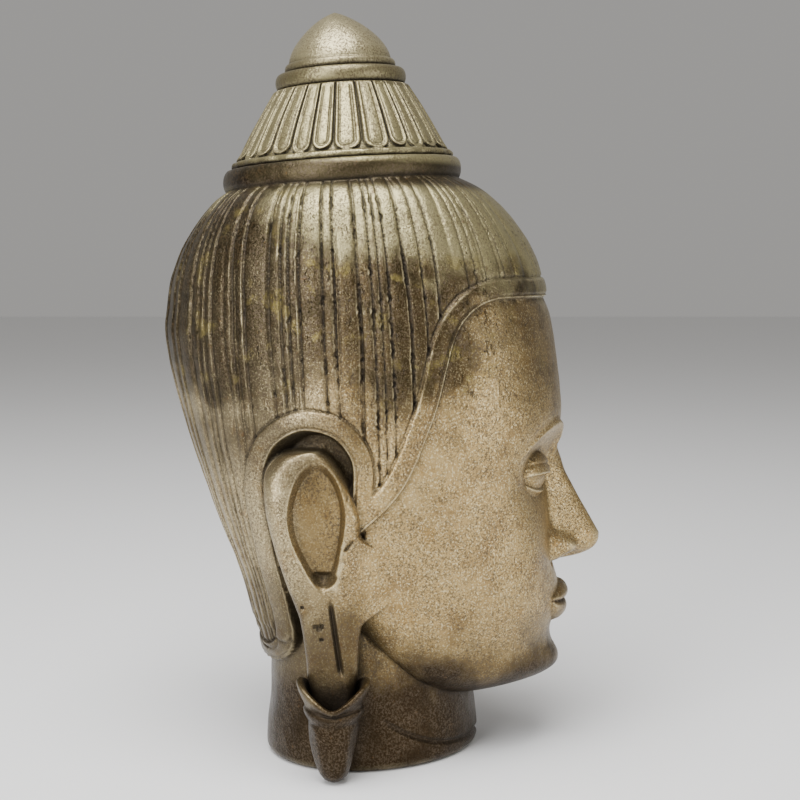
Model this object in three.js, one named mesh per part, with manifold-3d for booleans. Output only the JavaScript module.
// A cast metal head with a conical chignon cover, combed hair, long ears and lotus-bud earrings.
// It is one casting that stands on the flat cut of its neck.
// Millimetres, +Z up, face towards -Y, origin at the centre of the neck's flat underside.

import * as THREE from "three";
import { mergeVertices } from "three/addons/utils/BufferGeometryUtils.js";
import Module from "manifold-3d";

const wasm = await Module();
wasm.setup();

// The driving dimensions: over all in height, over the ears in width, and from nose to nape in depth.
const HEIGHT = 250;
const WIDTH = 114.4;
const DEPTH = 149;

// A free form keeps its shares of them: what follows is drawn on a head of these sizes.
const DRAWN = new THREE.Vector3(114.4, 149, 250);
const SHARES = new THREE.Vector3(WIDTH, DEPTH, HEIGHT).divide(DRAWN);

// Levels above the foot. The face is three equal thirds: chin, nose base, brow and hairline.
const CHIN_Z = 22;
const FACE_THIRD = 44;
const NOSE_BASE_Z = CHIN_Z + FACE_THIRD;
const BROW_Z = NOSE_BASE_Z + FACE_THIRD;
const HAIRLINE_Z = BROW_Z + FACE_THIRD;
const NAPE_Z = 33;
const RING_Z = 191.5;

// Neck: an oval that is narrower at the throat than at the nape, with a slight waist.
const NECK_FRONT = 37;
const NECK_BACK = 35.3;
const NECK_HALF_WIDTH = 36;
const NECK_SLANT = 2.4;
const NECK_WAIST = 1.5;
const FOOT_ROUNDING = 3.2;

// Hair: a cap with a smooth margin along its edge, and combed strands above that.
const STRANDS = 56;
const STRAND_GROOVE = 1.5;
const MARGIN_RISE = 0.5;

// Chignon cover: a round base moulding, a cord, petals, two rings and a bud.
const CHIGNON_Y = 9.3;
const CHIGNON_LEAN = 2.4;
const RING_TILT = THREE.MathUtils.degToRad(3.7);
const BASE_RING = { radius: 40.1, height: 7.9 };
const CORD_RING = { radius: 37.2, height: 2.4 };
const PETALS = 28;
const PETAL_ZONE = { low: 35.1, high: 22.2, height: 22.8, bulge: 0.5, groove: 1.5 };
const LOWER_RING = { radius: 21.9, height: 5.6 };
const UPPER_RING = { radius: 18.6, height: 3.2 };
const BUD = { radius: 17.2, height: 16.5 };

// Ears and the earrings that hang from their lobes.
const EAR_TOP_Z = 108.8;
const EAR_BOWL = { y: 15, z: 84.5, halfWidth: 8.8, halfHeight: 19.5, depth: 4.5 };
const LOBE_END_Z = 20;
const LOBE_THICKNESS = 6;
const EARRING_Y = 11;
const EARRING_X = 44.5;
const EARRING_RADIUS = 12.2;
const EARRING_TOP_Z = 35.5;
const EARRING_CLEARANCE = 0.6;

// No edge of the finished casting is much shorter than this.
const FINEST_EDGE = 1.5;

const degrees = THREE.MathUtils.degToRad;
const lerp = THREE.MathUtils.lerp;
const clamp01 = (t) => Math.min(1, Math.max(0, t));
const smooth = (a, b, t) => THREE.MathUtils.smoothstep((t - a) / (b - a), 0, 1);
const bell = (...parts) => Math.exp(-parts.reduce((sum, t) => sum + t * t, 0));

// A smooth curve through [position, value] pairs, flat past its two ends.
function through(pairs) {
  const n = pairs.length;
  const slope = pairs.map((p, i) => {
    const before = pairs[Math.max(0, i - 1)];
    const after = pairs[Math.min(n - 1, i + 1)];
    return (after[1] - before[1]) / (after[0] - before[0]);
  });
  return (at) => {
    if (at <= pairs[0][0]) return pairs[0][1];
    if (at >= pairs[n - 1][0]) return pairs[n - 1][1];
    const i = pairs.findIndex((p) => p[0] > at) - 1;
    const [x0, y0] = pairs[i];
    const [x1, y1] = pairs[i + 1];
    const w = x1 - x0;
    const t = (at - x0) / w;
    return (
      y0 * (1 + 2 * t) * (1 - t) ** 2 +
      y1 * t * t * (3 - 2 * t) +
      w * (slope[i] * t * (1 - t) ** 2 - slope[i + 1] * t * t * (1 - t))
    );
  };
}

// Distance from the axis to an egg-shaped outline: side, front and back reaches, and its squareness.
function eggRadius(angle, side, front, back, power) {
  const reach = Math.cos(angle) > 0 ? front : back;
  const sum =
    Math.abs(Math.sin(angle) / side) ** power + Math.abs(Math.cos(angle) / reach) ** power;
  return sum ** (-1 / power);
}

// The hair cap's reach at each height, measured from the axis of its ring.
const hairFront = through([
  [33, 55], [90, 60], [125, 60.6], [150, 60], [158.6, 60.6], [163.4, 60.8], [168.1, 60.4],
  [172.8, 59.2], [177.8, 56.8], [180.4, 55], [183.1, 52.8], [187, 48.6], [190, 44], [194, 36],
]);
const hairBack = through([
  [33, 37.6], [36.8, 38.4], [45.3, 40.4], [62.3, 45], [79.1, 51.5], [95.9, 57.4], [112.5, 63],
  [129.1, 67.6], [137.3, 69.4], [145.5, 70.2], [153.7, 68.6], [160, 66.2], [166.6, 61.8],
  [172.7, 57.4], [178.4, 52.8], [183.7, 48.2], [187, 45.2], [190, 42.2], [194, 36],
]);
const hairSide = through([
  [33, 37.5], [45, 41], [60, 44.5], [80, 49.5], [100, 51.8], [125, 53.6], [145, 54],
  [160, 53.2], [172, 51.3], [180, 49], [185, 46.8], [190, 42.8], [194, 36],
]);
const hairPower = 2.15;
const axisY = (z) => CHIGNON_Y * smooth(148, 188, z);
const hairRadius = (angle, z) =>
  eggRadius(angle, hairSide(z), hairFront(z), hairBack(z), hairPower);

// The bare face and skull, as reaches from the neck's axis. The forehead runs under the hair.
const faceFront = through([
  [CHIN_Z, 57], [CHIN_Z + 4, 61.4], [CHIN_Z + 9, 62.8], [CHIN_Z + 15, 61.2], [CHIN_Z + 21, 61.6],
  [CHIN_Z + 29, 63.6], [CHIN_Z + 36, 63.6], [NOSE_BASE_Z, 62.2], [NOSE_BASE_Z + 10, 61.2],
  [NOSE_BASE_Z + 28, 61.4], [BROW_Z - 6, 63.4], [BROW_Z + 3, 65.2], [BROW_Z + 16, 64.6],
  [BROW_Z + 30, 62.8], [HAIRLINE_Z, 59.6], [HAIRLINE_Z + 12, 54],
]);
const faceSide = through([
  [CHIN_Z, 29], [CHIN_Z + 9, 34], [CHIN_Z + 20, 39], [CHIN_Z + 34, 43.4], [NOSE_BASE_Z + 4, 46.4],
  [NOSE_BASE_Z + 20, 49], [BROW_Z - 6, 50.6], [BROW_Z + 8, 51.8], [BROW_Z + 26, 52.6],
  [HAIRLINE_Z, 52], [HAIRLINE_Z + 12, 48],
]);
const facePower = through([[CHIN_Z, 1.9], [CHIN_Z + 20, 2.1], [NOSE_BASE_Z, 2.25], [HAIRLINE_Z, 2.15]]);
const SKULL_INSET = 5;
const jawLine = through([
  [0, CHIN_Z - 1.5], [30, CHIN_Z], [50, CHIN_Z + 4], [65, CHIN_Z + 9], [80, CHIN_Z + 17],
  [95, CHIN_Z + 26], [115, CHIN_Z + 30], [150, CHIN_Z + 16], [180, CHIN_Z + 14],
]);
const jawRounding = through([[0, 9], [50, 11], [80, 16], [120, 20], [180, 20]]);

function neckRadius(angle, z) {
  const foot = Math.max(0, FOOT_ROUNDING - z);
  const rounded = FOOT_ROUNDING - Math.sqrt(FOOT_ROUNDING ** 2 - foot ** 2);
  const waist = NECK_WAIST * smooth(6, 22, z);
  const slant = NECK_SLANT * Math.sin(2 * Math.abs(angle));
  return eggRadius(angle, NECK_HALF_WIDTH, NECK_FRONT, NECK_BACK, 2) - slant - waist - rounded;
}

// How far round the face a point is, in millimetres from the middle line, and back.
const FACE_REACH = 62;
const roundFace = (angle) => FACE_REACH * Math.abs(angle);
const faceAngle = (s) => s / FACE_REACH;

// The nose: a straight ridge from the bridge to a round tip, with two wings.
const NOSE = { root: BROW_Z - 5, tip: NOSE_BASE_Z + 8, rise: 17.5, under: 8.7 };
function nose(s, z) {
  const fall = clamp01((NOSE.tip - z) / NOSE.under);
  const end = (1 - fall ** 2.3) ** (1 / 2.3);
  const ridge = 1.2 + (NOSE.rise - 1.2) * clamp01((NOSE.root - z) / (NOSE.root - NOSE.tip)) ** 1.05;
  const halfWidth = lerp(12, 8, smooth(NOSE.tip - 4, NOSE.tip + 18, z));
  const bridge = ridge * (1 - smooth(0.12, 1, s / halfWidth)) * smooth(NOSE.root + 8, NOSE.root - 6, z);
  const wing = 9 * bell((s - 8.6) / 4, (z - NOSE_BASE_Z - 4.4) / 5);
  return (bridge ** 3 + wing ** 3) ** (1 / 3) * end * smooth(17, 10, s);
}

// The socket that an eye lies in. The ball and lids are laid in it later.
const EYE = { s: 21.5, z: BROW_Z - 14, half: 13.2, height: 8.6, depth: 8, sunk: 6.6, lid: 1.2 };
function socket(s, z) {
  return -6 * bell((s - EYE.s + 2) / 12.5, (z - EYE.z - 3) / 9.5);
}

const MOUTH_Z = NOSE_BASE_Z - FACE_THIRD / 3;

// The dent in the skull round the ear, which leaves a dark hollow above and behind it.
function earHollow(y, z) {
  const across = (y - 18) / 17;
  const up = (z - 91) / 24.5;
  return 6.5 * (1 - smooth(0.75, 1.05, Math.hypot(across, up)));
}

function headRadius(angle, z) {
  const turn = THREE.MathUtils.radToDeg(Math.abs(angle));
  const back = lerp(NECK_BACK - NECK_WAIST - 1, hairBack(z) - SKULL_INSET, smooth(40, 62, z));
  const bare = eggRadius(angle, faceSide(z), faceFront(z), back, facePower(z));
  const s = roundFace(angle);
  const chin = 2.6 * bell(s / 12, (z - CHIN_Z - 9) / 7.5);
  const cheek = 2.2 * bell((s - 30) / 15, (z - NOSE_BASE_Z - 6) / 15);
  const muzzle = 1.6 * bell(s / 17, (z - MOUTH_Z) / 9);
  const face = nose(s, z) + socket(s, z) + chin + cheek + muzzle;
  const hollow = turn > 60 ? earHollow(-bare * Math.cos(angle), z) : 0;
  const full = bare + face * smooth(70, 55, turn) - hollow;
  const t = clamp01((z - jawLine(turn)) / jawRounding(turn));
  const jaw = (1 - (1 - t) ** 2.4) ** (1 / 2.4) * smooth(0, 0.06, t);
  const neck = neckRadius(angle, z);
  return neck + (full - neck) * jaw;
}

// A closed solid from a stack of rings that all have the same number of points.
function ringSolid(rings) {
  const columns = rings[0].length;
  const corners = [];
  const faces = [];
  const centre = (ring) =>
    ring.reduce((sum, p) => sum.add(p), new THREE.Vector3()).divideScalar(columns);
  rings.flat().forEach((p) => corners.push(...p.toArray()));
  const low = rings.length * columns;
  const high = low + 1;
  corners.push(...centre(rings[0]).toArray(), ...centre(rings.at(-1)).toArray());
  const top = (rings.length - 1) * columns;
  for (let j = 0; j < columns; j++) {
    const k = (j + 1) % columns;
    faces.push(low, k, j, high, top + j, top + k);
    for (let i = 0; i + 1 < rings.length; i++) {
      const a = i * columns;
      const b = a + columns;
      faces.push(a + j, a + k, b + k, a + j, b + k, b + j);
    }
  }
  return solidFrom(new Float32Array(corners), new Uint32Array(faces));
}

// Corners and faces as a solid, with the head's driving dimensions put to its corners.
function solidFrom(corners, triVerts) {
  const shares = SHARES.toArray();
  const vertProperties = corners.map((value, i) => value * shares[i % 3]);
  const mesh = new wasm.Mesh({ numProp: 3, vertProperties, triVerts });
  return new wasm.Manifold(mesh);
}

// A three.js geometry as a solid, with the vertices that its faces share merged.
function solidOf(geometry) {
  geometry.deleteAttribute("normal");
  geometry.deleteAttribute("uv");
  const merged = mergeVertices(geometry, 1e-4);
  return solidFrom(
    new Float32Array(merged.attributes.position.array),
    new Uint32Array(merged.index.array),
  );
}

// A point at an angle and radius round the axis. High rings tip back with the chignon.
function polar(angle, radius, z) {
  const away = -radius * Math.cos(angle);
  const tip = Math.tan(RING_TILT) * smooth(150, RING_Z, z);
  return new THREE.Vector3(radius * Math.sin(angle), axisY(z) + away, z - tip * away);
}

// Angles round the head: closest together at the nose, widest at the back.
function headAngles(faceSteps, backSteps) {
  const edge = degrees(78);
  const angles = [];
  for (let i = 0; i < faceSteps; i++) {
    const u = lerp(-1, 1, i / faceSteps);
    angles.push(edge * u * (0.62 + 0.38 * u * u));
  }
  for (let i = 0; i < backSteps; i++) angles.push(lerp(edge, 2 * Math.PI - edge, i / backSteps));
  return angles.map((a) => (a > Math.PI ? a - 2 * Math.PI : a));
}

// Heights of the head's rings: closer where the jaw, mouth, nose base and eyes turn fast.
function headLevels() {
  const levels = [0, 1, FOOT_ROUNDING, 8, 15];
  const runs = [
    [CHIN_Z - 1.6, 1.3, 2], [CHIN_Z + 1.4, 3.3, 6], [MOUTH_Z - 8, 4.2, 5], [NOSE_BASE_Z - 1, 1.4, 3],
    [NOSE_BASE_Z + 4.2, 2.6, 3], [NOSE_BASE_Z + 14, 5, 2], [EYE.z - 9, 3.3, 7],
    [BROW_Z, 4, 2], [BROW_Z + 9, 10, 3], [HAIRLINE_Z + 5, 1, 1],
  ];
  for (const [from, step, count] of runs)
    for (let i = 0; i < count; i++) levels.push(from + i * step);
  return levels;
}

function headSolid() {
  const angles = headAngles(42, 10);
  const rings = headLevels().map((z) => angles.map((a) => polar(a, headRadius(a, z), z)));
  return ringSolid(rings);
}

// A roll laid on the face: at each station a half-round section, closed behind the skin.
function rollSolid(stations) {
  const rings = stations.map(({ s, z, height, rise }) => {
    const angle = faceAngle(Math.abs(s)) * Math.sign(s);
    const at = (up, out) => polar(angle, headRadius(angle, z + up) + out, z + up);
    const section = [0, 1, 2, 3, 4].map((k) => (Math.PI * k) / 4);
    const skin = section.map((turn) => at((height / 2) * Math.cos(turn), rise * Math.sin(turn) - 0.2));
    return [...skin, at(0, -3)];
  });
  return ringSolid(rings);
}

// The lips: two full rolls that meet in a fine line and rise a little at the corners.
function lipSolid(upper) {
  const half = 15;
  const stations = [];
  for (let i = -6; i <= 6; i++) {
    const along = Math.abs(i) / 6.4;
    const s = (half * i) / 6;
    const line = MOUTH_Z + 1.6 * along ** 2.5;
    const height = upper ? 5.2 * (1 - along ** 1.8) * (i ? 1 : 0.86) + 0.8 : 7.2 * (1 - along ** 2.2) + 0.8;
    const z = upper ? line + height / 2 - 0.1 : line - height / 2 + 0.1;
    stations.push({ s, z, height, rise: (upper ? 2.8 : 3.3) * (1 - along ** 3) + 0.3 });
  }
  return rollSolid(stations);
}

// A brow: a narrow ridge that springs from the nose's root and arches over the eye.
function browSolid(side) {
  const stations = [];
  const steps = 10;
  for (let i = 0; i <= steps; i++) {
    const t = i / steps;
    const z = NOSE.root - 0.5 + 9.5 * Math.sin(Math.PI * t ** 0.72) ** 0.85 - 1.5 * t;
    const height = lerp(4.4, 1.6, t);
    stations.push({ s: side * lerp(4.5, 38, t), z, height, rise: lerp(2.2, 0.5, t) });
  }
  return rollSolid(side > 0 ? stations : stations.reverse());
}

// An eye: a ball, and lids over it with an almond opening for the lowered gaze.
function eyeSolid(side) {
  const turn = faceAngle(EYE.s);
  const place = new THREE.Matrix4()
    .makeTranslation(polar(turn, headRadius(turn, EYE.z) - socket(EYE.s, EYE.z) - EYE.sunk, EYE.z))
    .multiply(new THREE.Matrix4().makeRotationZ(0.85 * turn));
  const ball = (less) =>
    solidOf(
      new THREE.SphereGeometry(1, 18, 12)
        .rotateZ(Math.PI / 2)
        .scale(EYE.half - less, EYE.depth - less, EYE.height - less)
        .applyMatrix4(place),
    );
  const lidLine = (i, arch) => {
    const a = i / 5;
    return new THREE.Vector2(11.4 * a, 0.8 * a - 1 + arch * (1 - a * a) ** 0.7);
  };
  const along = [-5, -4, -3, -2, -1, 0, 1, 2, 3, 4, 5];
  const upperEdge = along.map((i) => lidLine(i, 1.8));
  const lowerEdge = along.slice(1, -1).map((i) => lidLine(i, -3.4)).reverse();
  const opening = new THREE.ExtrudeGeometry(new THREE.Shape([...upperEdge, ...lowerEdge]), {
    depth: 20,
    bevelEnabled: false,
  });
  opening.rotateX(Math.PI / 2).applyMatrix4(place);
  const made = ball(0).subtract(solidOf(opening)).add(ball(EYE.lid));
  return side > 0 ? made : made.mirror([1, 0, 0]);
}

// Edge of the hair in side view, as y and z: inner is the bare edge, outer is where strands stop.
const EDGE_INNER = [
  [-47, 155.2], [-39, 154.4], [-33.6, 151.7], [-29.3, 147], [-26.9, 141.5], [-25.4, 136],
  [-22, 122], [-19.3, 114.3], [-15.6, 104.6], [-11.3, 96.2], [-6.4, 90], [-0.5, 84.5], [5.6, 79.4],
];
const EDGE_INNER_EAR = [
  [5.4, 88], [4.2, 101.2], [6.4, 108.1], [11.4, 112.8], [19.7, 114.4], [27, 111.1], [31, 106],
  [33, 98.7], [32.8, 90], [29.8, 72], [26.5, 58], [24.5, 47], [26, 39.5], [30, 34], [37, NAPE_Z - 4],
];
const EDGE_OUTER = [
  [-45.2, 161.1], [-38.2, 160.1], [-31.8, 157.5], [-26.9, 153.7], [-23.6, 149], [-20.9, 144.3],
  [-18.8, 137.3], [-15, 121.4], [-11.8, 112.3], [-8.1, 103.1], [-3.5, 96], [-0.6, 93.4],
];
const EDGE_OUTER_EAR = [
  [-0.4, 99], [1.1, 109.8], [4.2, 115.4], [11.3, 120.1], [19.7, 121.2], [30.1, 118.2],
  [36.5, 110.9], [39.8, 102.7], [39, 91.8], [36.6, 78.6], [33.8, 65.2], [31.5, 53.3],
  [31.5, 45], [34, 40], [40, 37.5],
];

// The side-view shape that the hair cap leaves open for face, ear and neck, run right through.
function windowSolid(frontEdge, earEdge, samples) {
  const far = 120;
  const curve = (points) =>
    new THREE.SplineCurve(points.map(([y, z]) => new THREE.Vector2(y, z))).getPoints(samples);
  const outline = [
    new THREE.Vector2(-far, frontEdge[0][1]),
    ...curve(frontEdge),
    ...curve(earEdge),
    new THREE.Vector2(far, earEdge.at(-1)[1]),
    new THREE.Vector2(far, -far),
    new THREE.Vector2(-far, -far),
  ];
  const prism = new THREE.ExtrudeGeometry(new THREE.Shape(outline), {
    depth: 2 * far,
    bevelEnabled: false,
  });
  // The outline's own x and y become the part's y and z, and the run becomes its x.
  prism.applyMatrix4(new THREE.Matrix4().set(0, 0, 1, -far, 1, 0, 0, 0, 0, 1, 0, 0, 0, 0, 0, 1));
  return solidOf(prism);
}

const HAIR_LEVELS = [NAPE_Z, 52, 78, 106, 132, 151, 164, 174, 182, 188, 194];

// A cap over the hair, with the lift of each point over the hair's outline and of its lower edge.
function hairCap(steps, lift, hem) {
  const ring = (z, row) =>
    Array.from({ length: steps }, (_, j) => {
      const angle = (j / steps) * 2 * Math.PI - Math.PI;
      return polar(angle, hairRadius(angle, z) + lift(j), z + (row ? 0 : hem(j)));
    });
  return ringSolid(HAIR_LEVELS.map(ring));
}

// Combed hair, two points to a strand, with a smooth margin along its edge.
function hairSolid() {
  const valley = (j) => j % 2;
  const strands = hairCap(2 * STRANDS, (j) => -STRAND_GROOVE * valley(j), (j) => 2.5 * valley(j));
  const smoothCap = hairCap(36, () => MARGIN_RISE, () => 1);
  const margin = smoothCap.intersect(windowSolid(EDGE_OUTER, EDGE_OUTER_EAR, 12));
  return strands.add(margin).subtract(windowSolid(EDGE_INNER, EDGE_INNER_EAR, 14));
}

// Rows of the chignon cover from its lower edge up: height, radius and share of the petal groove.
function chignonRows() {
  const rows = [];
  let z = 0;
  const moulding = ({ radius, height }, depth, steps) => {
    for (let i = 0; i < steps; i++) {
      const turn = (Math.PI * i) / steps;
      rows.push([z + (height * (1 - Math.cos(turn))) / 2, radius - depth * (1 - Math.sin(turn)), 0]);
    }
    z += height;
  };
  moulding(BASE_RING, 2.4, 4);
  moulding(CORD_RING, 1.2, 2);
  const petalRows = 4;
  for (let i = 0; i < petalRows; i++) {
    const t = i / (petalRows - 1);
    const bulge = PETAL_ZONE.bulge * Math.sin(Math.PI * t);
    const radius = lerp(PETAL_ZONE.low, PETAL_ZONE.high, t) + bulge;
    rows.push([z + 0.6 + (PETAL_ZONE.height - 0.6) * t, radius, 1 - 0.6 * t]);
  }
  z += PETAL_ZONE.height;
  moulding(LOWER_RING, 1.6, 3);
  moulding(UPPER_RING, 1.2, 2);
  const budRows = 5;
  for (let i = 0; i < budRows; i++) {
    const t = i / budRows;
    rows.push([z + BUD.height * t, BUD.radius * (1 - t ** 1.7) ** 0.8, 0]);
  }
  rows.push([z + BUD.height, 2, 0]);
  return rows;
}

function chignonSolid() {
  const steps = 2 * PETALS;
  const rows = chignonRows();
  const top = rows.at(-1)[0];
  const rings = rows.map(([up, radius, petal]) =>
    Array.from({ length: steps }, (_, j) => {
      const angle = (j / steps) * 2 * Math.PI - Math.PI;
      const groove = j % 2 ? petal * PETAL_ZONE.groove : 0;
      const p = polar(angle, radius - groove, RING_Z + up);
      p.y += CHIGNON_LEAN * (up / top) ** 4;
      return p;
    }),
  );
  // The cover goes down into the hair, so that the two are one body.
  const buried = rings[0].map(
    (p) => new THREE.Vector3(p.x * 0.8, lerp(CHIGNON_Y, p.y, 0.8), p.z - 8),
  );
  return ringSolid([buried, ...rings]);
}

// The ear and its lobe in side view: back edge, front edge and outer face at each height.
const earBack = through([
  [LOBE_END_Z, 16], [34, 19.3], [40.3, 19.7], [53, 21.3], [58.4, 22.9], [71.4, 27.4], [84.5, 30.7], [92, 31.8],
  [99.9, 31.6], [104, 29.4], [107, 25.5], [EAR_TOP_Z, 18],
]);
const earFront = through([
  [LOBE_END_Z, 6], [34, 3.5], [41.2, 3], [50.5, 2.1], [57.5, 0.2], [66, 1.5], [74, 4], [78.2, 4.6], [82, 3],
  [87, 2], [91.7, 4.1], [97.3, 6.6], [104.5, 11], [107, 13.6], [EAR_TOP_Z, 17],
]);
const earFace = through([
  [LOBE_END_Z, 44.5], [34, 45.5], [45, 47.4], [55, 49.2], [65, 51.6], [75, 54], [90, 56.4], [102, 55.6], [EAR_TOP_Z, 53.5],
]);

function earReach(y, z) {
  const b = EAR_BOWL;
  const narrow = lerp(0.7, 1, smooth(b.z - b.halfHeight, b.z + 6, z));
  const inside = Math.hypot((y - b.y) / (b.halfWidth * narrow), (z - b.z) / b.halfHeight);
  const bowl = b.depth * (1 - smooth(0.7, 1.12, inside));
  const slot = 1.5 * bell((y - 10.2) / 1.1) * smooth(62, 57, z) * smooth(34, 38, z);
  const forward = 0.06 * (y - b.y) * smooth(60, 80, z);
  return earFace(z) + forward - bowl - slot;
}

// How far a quarter-round edge lies below the face, at a distance in from its side.
const rounding = (radius, inward) =>
  radius * (1 - Math.sqrt(1 - (1 - clamp01(inward / radius)) ** 2));

// One ear as a stack of flat slices. Its inner side is buried in the head, and free at the lobe.
function earSolid(side) {
  const levels = [LOBE_END_Z, 28, 34, 40, 46, 52, 57, 61, 65, 68.5, 72, 77, 83, 89, 95, 100, 103.5, 106.2, 108];
  const across = [0, 0.05, 0.15, 0.28, 0.42, 0.55, 0.68, 0.8, 0.9, 0.97, 1];
  const rings = levels.map((z) => {
    const front = earFront(z);
    const back = earBack(z);
    const inner = lerp(earFace(z) - LOBE_THICKNESS, 33, smooth(56, 66, z));
    const spread = 2 * smooth(60, 70, z);
    const outside = across.map((t) => {
      const y = lerp(front, back, t);
      const fallAway = lerp(2.6, 5, smooth(62, 74, z));
      const edge = rounding(2.6, y - front) + rounding(fallAway, back - y);
      return new THREE.Vector3(-side * (earReach(y, z) - edge), y, z);
    });
    outside.push(new THREE.Vector3(-side * inner, back + spread, z));
    outside.push(new THREE.Vector3(-side * inner, front - spread, z));
    return side > 0 ? outside.reverse() : outside;
  });
  return ringSolid(rings);
}

// The web of metal between a lobe and the neck.
function webSolid(side) {
  const shape = new THREE.Shape([
    new THREE.Vector2(NECK_HALF_WIDTH - 8, 24),
    new THREE.Vector2(EARRING_X - 2, 24),
    new THREE.Vector2(earFace(60) - LOBE_THICKNESS + 2, 64),
    new THREE.Vector2(NECK_HALF_WIDTH - 8, 64),
  ]);
  const thick = 7;
  const web = new THREE.ExtrudeGeometry(shape, { depth: thick, bevelEnabled: false });
  web.applyMatrix4(
    new THREE.Matrix4().set(1, 0, 0, 0, 0, 0, -1, EARRING_Y + thick / 2, 0, 1, 0, 0, 0, 0, 0, 1),
  );
  const solid = solidOf(web);
  return side > 0 ? solid : solid.mirror([1, 0, 0]);
}

// An earring: a bud under two calyxes whose rims dip in a V on the outer side.
function earringSolid(side) {
  const steps = 12;
  const r = EARRING_RADIUS;
  const rings = [
    [0, 0.1, 0], [0.035, 0.36, 0], [0.12, 0.5, 0], [0.36, 0.62, 0], [0.5, 0.8, 0.14],
    [0.5, 0.7, 0.13], [0.56, 0.84, 0.3], [0.585, 1, 0.42], [0.54, 0.78, 0.36], [0.5, 0.3, 0.2],
  ].map(([up, out, dip]) =>
    Array.from({ length: steps }, (_, j) => {
      const angle = (j / steps) * 2 * Math.PI;
      const z = EARRING_CLEARANCE + (up + dip * Math.abs(Math.sin(angle))) * (EARRING_TOP_Z - EARRING_CLEARANCE);
      const x = EARRING_X + r * out * Math.cos(angle);
      return new THREE.Vector3(x, EARRING_Y + r * out * Math.sin(angle), z);
    }),
  );
  const solid = ringSolid(rings);
  return side > 0 ? solid : solid.mirror([1, 0, 0]);
}

// The casting's corners and faces, after every edge shorter than the finest detail is closed up.
// An edge closes only where the skin stays whole and no face round it turns over.
function withoutShortEdges(points, faces, shortest) {
  const around = points.map(() => new Set());
  faces.forEach((face, f) => face.forEach((v) => around[v].add(f)));
  const normal = (a, b, c) => b.clone().sub(a).cross(c.clone().sub(a));
  const neighbours = (v) => new Set([...around[v]].flatMap((f) => faces[f]).filter((w) => w !== v));
  const stays = (v, gone, middle) =>
    [...around[v]].every((f) => {
      if (faces[f].includes(gone)) return true;
      const before = normal(...faces[f].map((w) => points[w]));
      const after = normal(...faces[f].map((w) => (w === v ? middle : points[w])));
      return before.length() < 1e-3 || before.normalize().dot(after.normalize()) > 0.6;
    });
  const closeUp = (keep, gone) => {
    const shared = [...neighbours(keep)].filter((v) => neighbours(gone).has(v));
    const middle = points[keep].clone().lerp(points[gone], 0.5);
    if (points[keep].z < 1e-3 || points[gone].z < 1e-3) return false;
    if (shared.length !== 2 || !stays(keep, gone, middle) || !stays(gone, keep, middle)) return false;
    for (const f of around[gone]) {
      if (faces[f].includes(keep)) {
        faces[f].forEach((v) => v !== gone && around[v].delete(f));
        faces[f] = null;
      } else {
        faces[f] = faces[f].map((v) => (v === gone ? keep : v));
        around[keep].add(f);
      }
    }
    points[keep] = middle;
    around[gone].clear();
    return true;
  };
  let closed = 1;
  while (closed) {
    closed = 0;
    for (let f = 0; f < faces.length; f++) {
      for (let k = 0; faces[f] && k < 3; k++) {
        const [u, v] = [faces[f][k], faces[f][(k + 1) % 3]];
        if (points[u].distanceTo(points[v]) < shortest && closeUp(u, v)) closed++;
      }
    }
  }
  return faces.filter(Boolean);
}

function geometryOf(solid) {
  const { numProp, numVert, vertProperties, triVerts } = solid.getMesh();
  const points = Array.from({ length: numVert }, (_, i) =>
    new THREE.Vector3().fromArray(vertProperties, i * numProp),
  );
  let faces = Array.from({ length: triVerts.length / 3 }, (_, f) => [
    ...triVerts.subarray(3 * f, 3 * f + 3),
  ]);
  for (const share of [0.1, 0.4, 0.7, 1]) faces = withoutShortEdges(points, faces, share * FINEST_EDGE);
  const geometry = new THREE.BufferGeometry();
  const corners = faces.flat().flatMap((v) => points[v].toArray());
  geometry.setAttribute("position", new THREE.Float32BufferAttribute(corners, 3));
  const merged = mergeVertices(geometry, 1e-5);
  merged.computeVertexNormals();
  return merged;
}

let casting = headSolid().add(hairSolid()).add(chignonSolid());
casting = casting.add(lipSolid(true)).add(lipSolid(false));
for (const side of [-1, 1]) {
  casting = casting.add(eyeSolid(side)).add(browSolid(side));
  casting = casting.add(webSolid(side)).add(earSolid(side)).add(earringSolid(side));
}

const bronze = new THREE.MeshStandardMaterial({ color: 0x8d8266, roughness: 0.42, metalness: 1 });
const head = new THREE.Mesh(geometryOf(casting), bronze);
head.name = "buddha_head";

const bust = new THREE.Group();
bust.add(head);
export default bust;
